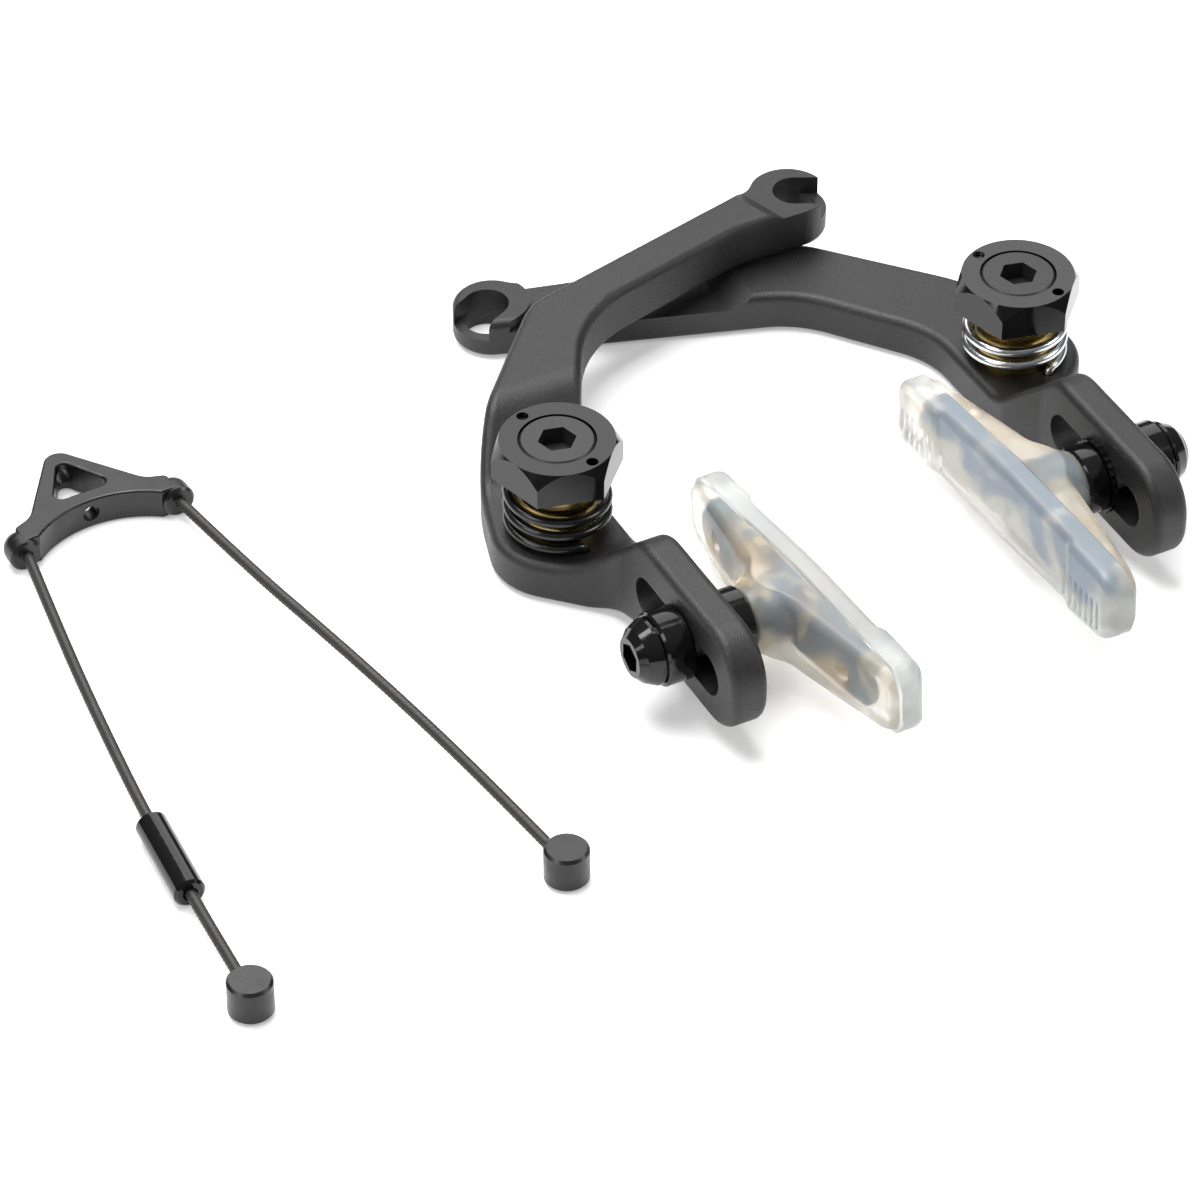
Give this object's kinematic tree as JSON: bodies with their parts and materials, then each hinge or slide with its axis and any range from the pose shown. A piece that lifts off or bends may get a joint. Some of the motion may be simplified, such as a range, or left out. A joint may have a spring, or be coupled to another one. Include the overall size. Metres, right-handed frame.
{
  "type": "bicycle u-brake",
  "caption": "Crossing forged arms on sprung pivots squeeze long urethane pads on a rim, pulled by a straddle cable with a triangular hanger.",
  "frame": {"origin": "midway between the two pivot axes, at the level where the bolts enter the ends of the frame bosses, 6 mm above the back faces of the sleeves and of the lower arm", "axes": "+X along the line of the pivots to the arm whose hook lies under the other, +Y from the pads to the cable hooks, +Z along the pivot axes away from the frame"},
  "size_m": [0.1759, 0.1251, 0.0223],
  "materials": {
    "anodised_black": "satin black anodised over a blasted forging",
    "brass": "turned brass",
    "bolt_grey": "dark satin plated steel",
    "gloss_black": "gloss black anodised",
    "spring_black": "black oxide spring wire",
    "spring_zinc": "zinc plated spring wire",
    "stud_steel": "zinc plated steel",
    "urethane": "translucent moulded urethane",
    "wire_steel": "twisted dark steel strand"
  },
  "bodies": {
    "base": {"left_pivot_sleeve": "brass", "left_pivot_bolt": "bolt_grey", "right_pivot_sleeve": "brass", "right_pivot_bolt": "bolt_grey", "hanger": "anodised_black", "crimp_sleeve": "gloss_black", "left_wire": "wire_steel", "right_wire": "wire_steel", "left_barrel": "gloss_black", "right_barrel": "gloss_black"},
    "left_arm": {"left_arm": "anodised_black", "left_spring": "spring_black"},
    "left_nut": {"left_tension_nut": "gloss_black"},
    "left_carriage": {"left_inner_washer": "gloss_black", "left_inner_spacer": "gloss_black", "left_outer_spacer": "gloss_black", "left_cap_nut": "gloss_black"},
    "left_pad": {"left_pad_stud": "stud_steel", "left_pad": "urethane"},
    "right_arm": {"right_arm": "anodised_black", "right_spring": "spring_zinc"},
    "right_nut": {"right_tension_nut": "gloss_black"},
    "right_carriage": {"right_inner_washer": "gloss_black", "right_inner_spacer": "gloss_black", "right_outer_spacer": "gloss_black", "right_cap_nut": "gloss_black"},
    "right_pad": {"right_pad_stud": "stud_steel", "right_pad": "urethane"}
  },
  "joints": [
    {"name": "left_arm_pivot", "type": "hinge", "parent": "base", "child": "left_arm", "pos_m": [-0.04, 0, 0], "axis": [0, 0, 1], "range_deg": [-5, 12], "stiffness_Nm_per_rad": 0.6, "deforming": ["left_spring"]},
    {"name": "left_nut_turn", "type": "hinge", "parent": "base", "child": "left_nut", "pos_m": [-0.04, 0, 0], "axis": [0, 0, 1], "range_deg": [-60, 60], "deforming": ["left_spring"]},
    {"name": "left_pad_slide", "type": "slide", "parent": "left_arm", "child": "left_carriage", "axis": [0.061, 0.9981, 0], "range_m": [-0.0079, 0.0102]},
    {"name": "left_pad_swivel", "type": "hinge", "parent": "left_carriage", "child": "left_pad", "pos_m": [-0.04217, -0.03543, 0.0046], "axis": [0.9981, -0.061, 0], "range_deg": [-90, 90]},
    {"name": "right_arm_pivot", "type": "hinge", "parent": "base", "child": "right_arm", "pos_m": [0.04, 0, 0], "axis": [0, 0, 1], "range_deg": [-12, 5], "stiffness_Nm_per_rad": 0.6, "deforming": ["right_spring"]},
    {"name": "right_nut_turn", "type": "hinge", "parent": "base", "child": "right_nut", "pos_m": [0.04, 0, 0], "axis": [0, 0, 1], "range_deg": [-60, 60], "deforming": ["right_spring"]},
    {"name": "right_pad_slide", "type": "slide", "parent": "right_arm", "child": "right_carriage", "axis": [0.061, 0.9981, 0], "range_m": [-0.0079, 0.0102]},
    {"name": "right_pad_swivel", "type": "hinge", "parent": "right_carriage", "child": "right_pad", "pos_m": [0.03783, -0.03543, 0.0046], "axis": [-0.9981, 0.061, 0], "range_deg": [-90, 90]}
  ]
}
